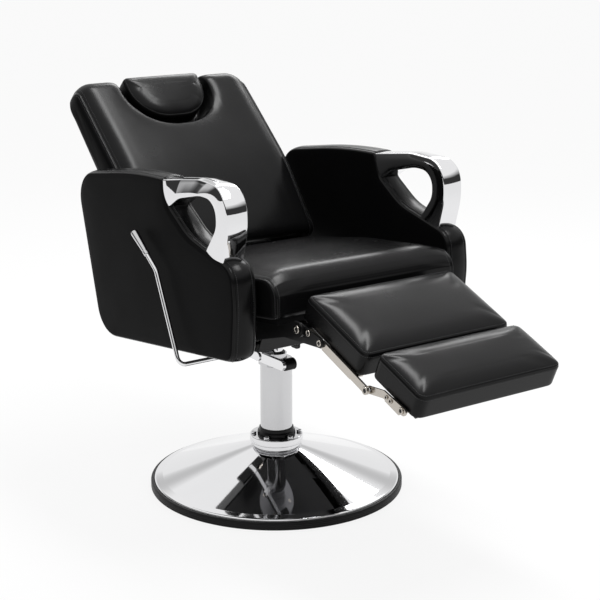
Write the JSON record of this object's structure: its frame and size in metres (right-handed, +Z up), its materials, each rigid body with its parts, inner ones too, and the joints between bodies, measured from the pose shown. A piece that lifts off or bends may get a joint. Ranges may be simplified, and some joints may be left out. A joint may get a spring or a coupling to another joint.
{
  "type": "reclining barber chair",
  "caption": "Black padded barber chair on a round chrome pump base, with a reclining back, sliding headrest, folding legrest, chrome arm loops and a side release lever.",
  "frame": {"origin": "on the floor at the pump's axis", "axes": "+Z up, -Y the way the sitter looks, +X the sitter's left"},
  "size_m": [0.6759, 1.3091, 0.924],
  "materials": {
    "black_leather": "semi-gloss, fine grain",
    "black_rubber": "matt",
    "mirror_chrome": "mirror",
    "satin_steel": "satin",
    "grey_steel": "machined",
    "zinc_steel": "bright zinc",
    "black_steel": "semi-matt paint",
    "black_board": "black lined",
    "plywood": "raw",
    "black_plastic": "matt",
    "dark_grip": "satin chrome",
    "bronze": "plain"
  },
  "bodies": {
    "base": {"base_trim_ring": "black_rubber", "base_dish": "mirror_chrome", "base_floor_plate": "grey_steel", "flange_backing_ring": "grey_steel", "pump_flange": "satin_steel", "flange_bolts": "zinc_steel", "pump_cylinder": "satin_steel", "pump_head": "satin_steel", "ram_wiper_seal": "black_rubber", "pedal_pivot_pin": "mirror_chrome"},
    "ram": {"ram_shaft": "mirror_chrome", "ram_piston": "grey_steel", "swivel_thrust_washer": "bronze"},
    "pedal": {"pump_pedal": "mirror_chrome", "pedal_toe_roller": "black_rubber", "pedal_foot_pad": "black_rubber"},
    "seat": {"swivel_hub": "grey_steel", "seat_mount_plate": "black_steel", "mount_plate_bolts": "zinc_steel", "front_apron": "black_steel", "rear_tie_bar": "black_steel", "side_plate_left": "black_steel", "side_plate_right": "black_steel", "seat_board": "black_board", "seat_cushion": "black_leather", "arm_pad_left": "black_leather", "arm_pad_right": "black_leather", "arm_cores": "plywood", "arm_brackets": "black_steel", "arm_bolts": "zinc_steel", "chrome_arm_left": "mirror_chrome", "chrome_arm_right": "mirror_chrome", "lever_bushes": "black_plastic", "gas_spring_cylinder": "black_steel", "gas_spring_anchor": "grey_steel"},
    "release_lever": {"release_lever_rod": "mirror_chrome", "release_lever_grip": "dark_grip", "release_finger": "zinc_steel"},
    "valve": {"gas_valve_tappet": "zinc_steel"},
    "gas_rod": {"gas_spring_rod": "zinc_steel"},
    "back": {"back_cushion": "black_leather", "back_panel": "black_board", "back_hinge_arms": "black_steel", "back_crank_tube": "black_steel", "headrest_socket": "grey_steel"},
    "headrest": {"headrest_cushion": "black_leather", "headrest_board": "black_board", "headrest_post": "grey_steel"},
    "drive_links": {"drive_links": "zinc_steel"},
    "legrest": {"legrest_cushion": "black_leather", "legrest_board": "black_board", "legrest_arms": "black_steel", "legrest_bars": "zinc_steel", "legrest_crank_tube": "black_steel", "legrest_rivets": "zinc_steel"},
    "footrest": {"footrest_cushion": "black_leather", "footrest_board": "black_board", "footrest_brackets": "zinc_steel", "footrest_rivets": "zinc_steel"}
  },
  "joints": [
    {"name": "lift", "type": "slide", "parent": "base", "child": "ram", "axis": [0, 0, 1], "range_m": [0, 0.15]},
    {"name": "swivel", "type": "hinge", "parent": "ram", "child": "seat", "pos_m": [0, 0, 0.384], "axis": [0, 0, 1], "continuous": true},
    {"name": "pump_pedal", "type": "hinge", "parent": "base", "child": "pedal", "pos_m": [0, 0, 0.322], "axis": [-1, 0, 0], "range_deg": [0, 12], "stiffness_Nm_per_rad": 6, "springref_deg": -14.32},
    {"name": "back_recline", "type": "hinge", "parent": "seat", "child": "back", "pos_m": [0, 0.19, 0.52], "axis": [1, 0, 0], "range_deg": [0, 35]},
    {"name": "legrest_swing", "type": "hinge", "parent": "seat", "child": "legrest", "pos_m": [0, -0.382, 0.503], "axis": [1, 0, 0], "range_deg": [0, 64]},
    {"name": "footrest_fold", "type": "hinge", "parent": "legrest", "child": "footrest", "pos_m": [0, -0.59003, 0.42408], "axis": [1, 0, 0], "range_deg": [0, 140]},
    {"name": "drive_link_pivot", "type": "hinge", "parent": "back", "child": "drive_links", "pos_m": [0, 0.16354, 0.43607], "axis": [1, 0, 0], "range_deg": [-35, 0]},
    {"name": "gas_rod_slide", "type": "slide", "parent": "seat", "child": "gas_rod", "axis": [0, 1, 0], "range_m": [0, 0.06015]},
    {"name": "headrest_slide", "type": "slide", "parent": "back", "child": "headrest", "axis": [0, 0.6947, 0.7193], "range_m": [0, 0.09]},
    {"name": "release_lever", "type": "hinge", "parent": "seat", "child": "release_lever", "pos_m": [0, -0.128, 0.386], "axis": [-1, 0, 0], "range_deg": [0, 12], "stiffness_Nm_per_rad": 3, "springref_deg": -28.65},
    {"name": "valve_tappet", "type": "slide", "parent": "seat", "child": "valve", "axis": [0, 1, 0], "range_m": [0, 0.00762]}
  ],
  "couplings": [
    {"joint": "legrest_swing", "follows": "back_recline", "ratio": 1.8286},
    {"joint": "footrest_fold", "follows": "back_recline", "ratio": 4},
    {"joint": "drive_link_pivot", "follows": "back_recline", "ratio": -1},
    {"joint": "gas_rod_slide", "follows": "back_recline", "m_per_rad": 0.098452},
    {"joint": "valve_tappet", "follows": "release_lever", "m_per_rad": 0.036314}
  ]
}
